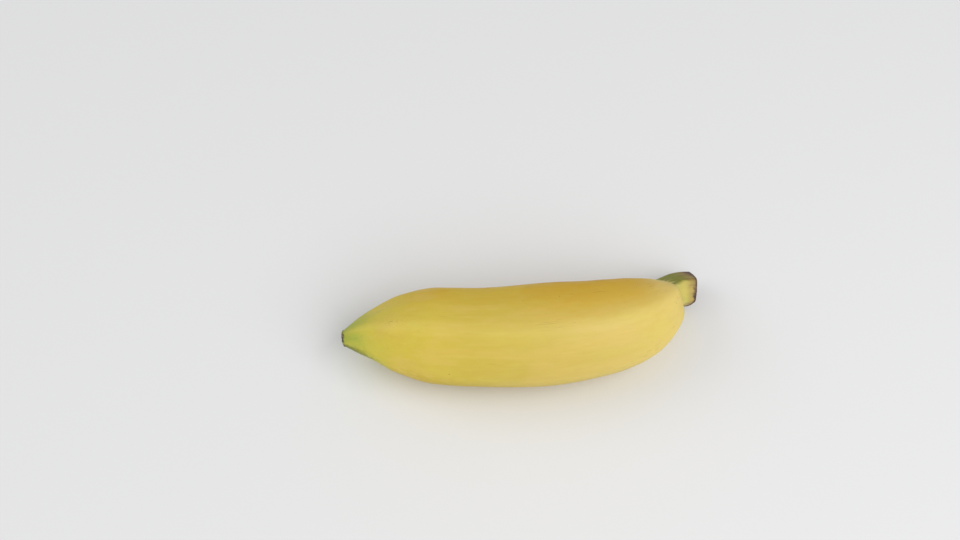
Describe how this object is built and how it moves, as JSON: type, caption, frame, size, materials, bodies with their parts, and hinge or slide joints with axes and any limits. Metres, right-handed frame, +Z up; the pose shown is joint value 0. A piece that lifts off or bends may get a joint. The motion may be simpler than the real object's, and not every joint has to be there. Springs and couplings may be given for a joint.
{
  "type": "banana",
  "caption": "Small whole dessert banana lying on its side, gently curved, with soft ridges, a short cut stem and a dry blossom scar.",
  "frame": {"origin": "on the surface that the fruit rests on, under the middle of its bounding box", "axes": "+X along the fruit towards its cut stem, +Z up, outer curve turned towards -Y"},
  "size_m": [0.1132, 0.0378, 0.0316],
  "materials": {
    "banana_skin": "satin ripe yellow skin, greener at the neck and tip, with a brown stem cut and a dark blossom scar"
  },
  "bodies": {
    "root": {"banana": "banana_skin"}
  },
  "joints": []
}
